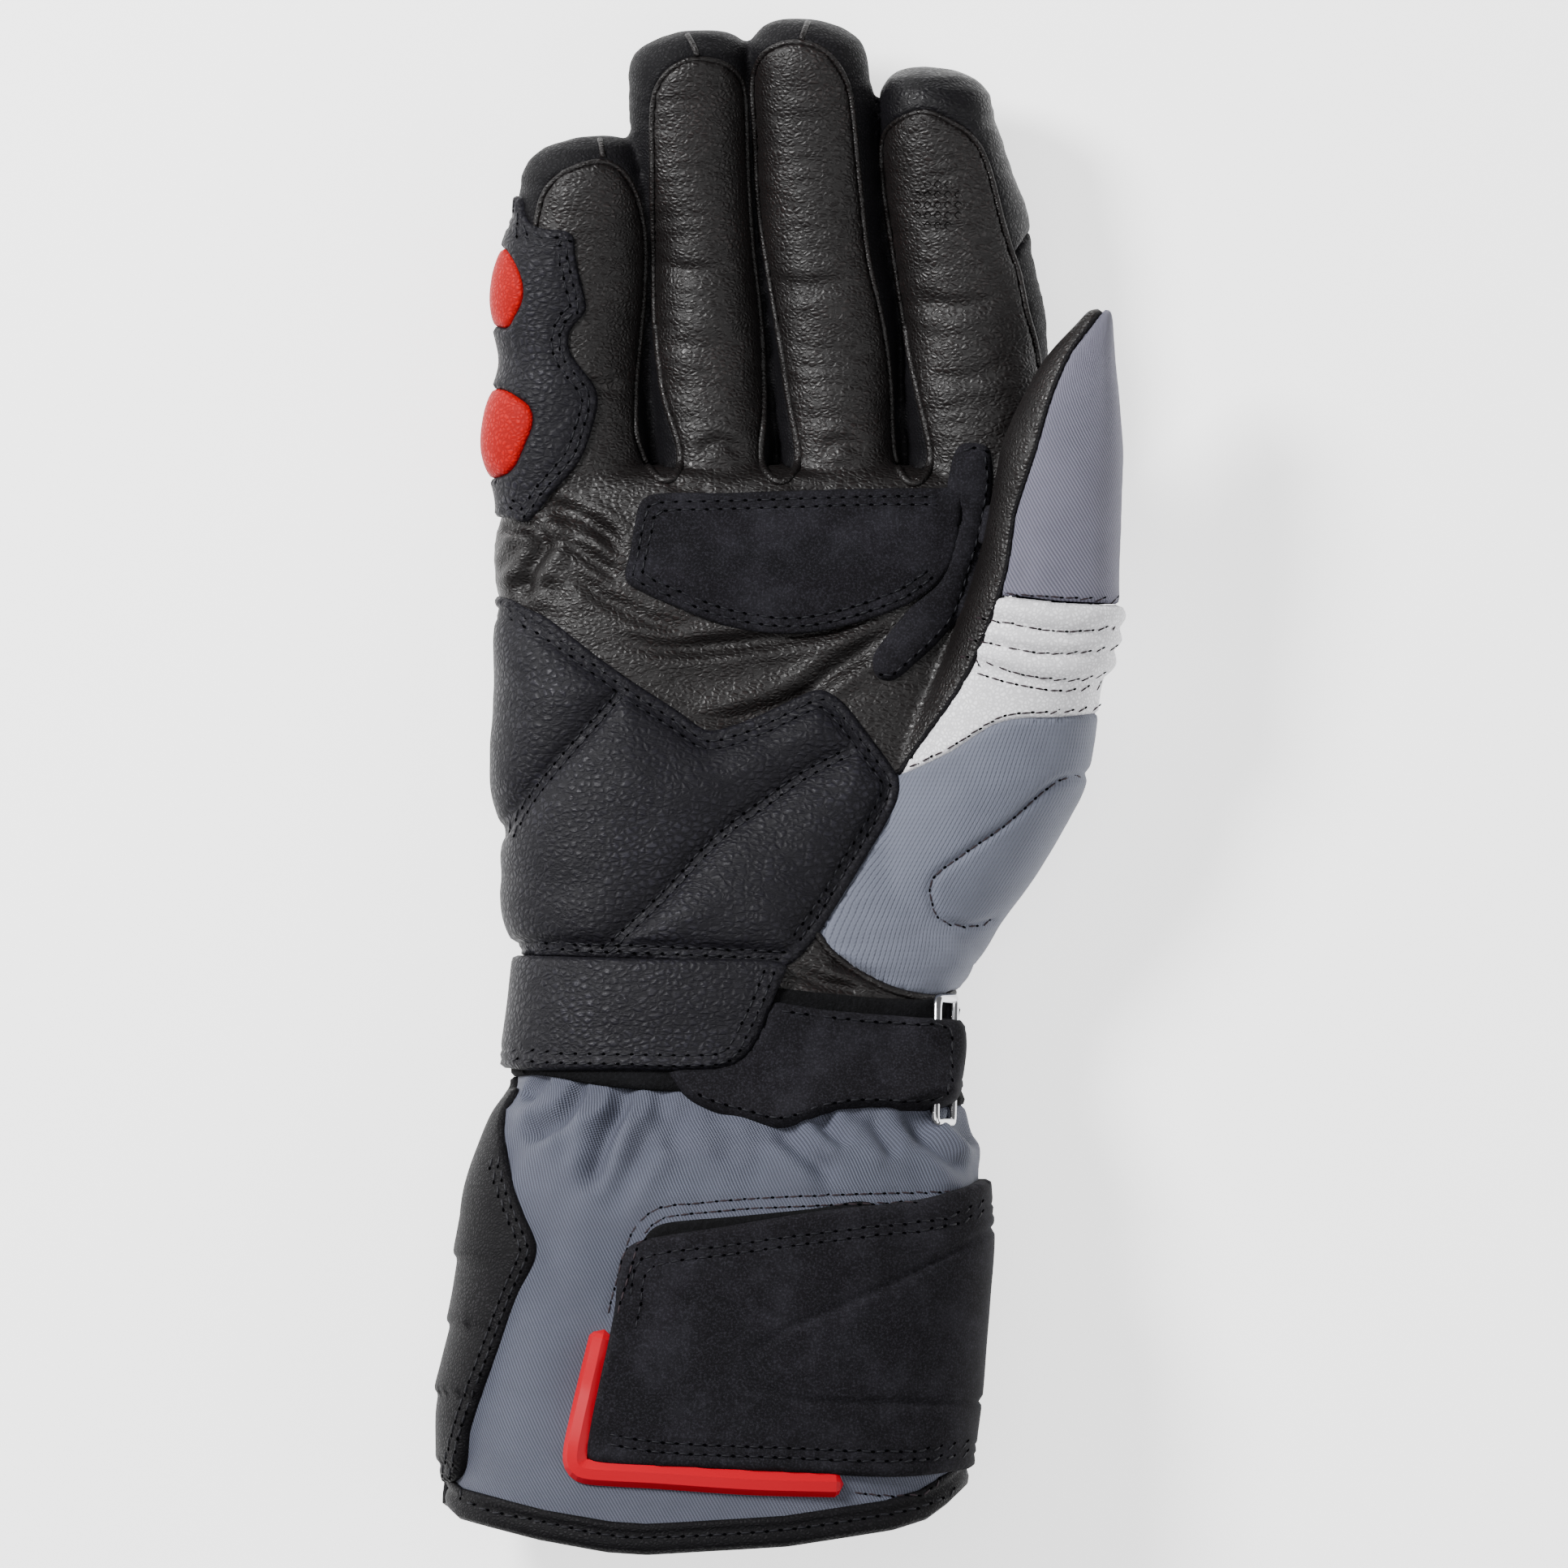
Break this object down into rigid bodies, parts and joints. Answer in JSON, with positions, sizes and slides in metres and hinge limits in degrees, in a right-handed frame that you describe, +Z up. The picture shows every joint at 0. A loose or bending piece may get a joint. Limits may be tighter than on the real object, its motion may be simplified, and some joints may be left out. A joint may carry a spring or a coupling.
{
  "type": "motorcycle gauntlet glove",
  "caption": "Long-cuffed right-hand motorcycle glove in black leather, suede and grey textile with red trim, lying palm up.",
  "frame": {"origin": "on the flat underside of the hand's back, under the middle of the palm", "axes": "+Y towards the fingertips, +X towards the thumb, +Z up out of the palm"},
  "size_m": [0.1416, 0.3144, 0.0655],
  "materials": {
    "leather_black": "pebble grain, semi-matte",
    "leather_grained": "shrunken wrinkled grain, semi-matte",
    "leather_red": "smooth satin",
    "leather_white": "smooth satin",
    "suede_black": "napped, matte",
    "twill_grey": "stretch twill, matte",
    "neoprene_grey": "knit-faced foam rubber, matte",
    "loop_black": "loop tape, matte",
    "rubber_red": "moulded, satin",
    "steel_plated": "polished"
  },
  "bodies": {
    "root": {"thumb_textile_panel": "twill_grey", "thumb_base_panel": "neoprene_grey", "thumb_flex_panel": "leather_white", "palm_leather": "leather_black", "index_cap": "leather_black", "hand_back": "leather_black", "little_finger_back": "leather_black", "ring_finger_back": "leather_black", "middle_finger_back": "leather_black", "index_finger_back": "leather_black", "palm_patch": "suede_black", "thumb_crotch_patch": "suede_black", "heel_pad": "leather_grained", "little_finger_guard": "leather_grained", "red_insert_upper": "leather_red", "red_insert_lower": "leather_red", "wrist_flap": "leather_grained", "wrist_ring": "steel_plated", "wrist_loop_band": "loop_black", "wrist_strap": "suede_black", "wrist_ring_tab": "suede_black", "cuff_sleeve": "twill_grey", "hem_binding": "leather_black", "cuff_strap": "suede_black", "cuff_strap_trim": "rubber_red", "cuff_hook_patch": "loop_black", "cuff_side_guard": "leather_grained"}
  },
  "joints": []
}
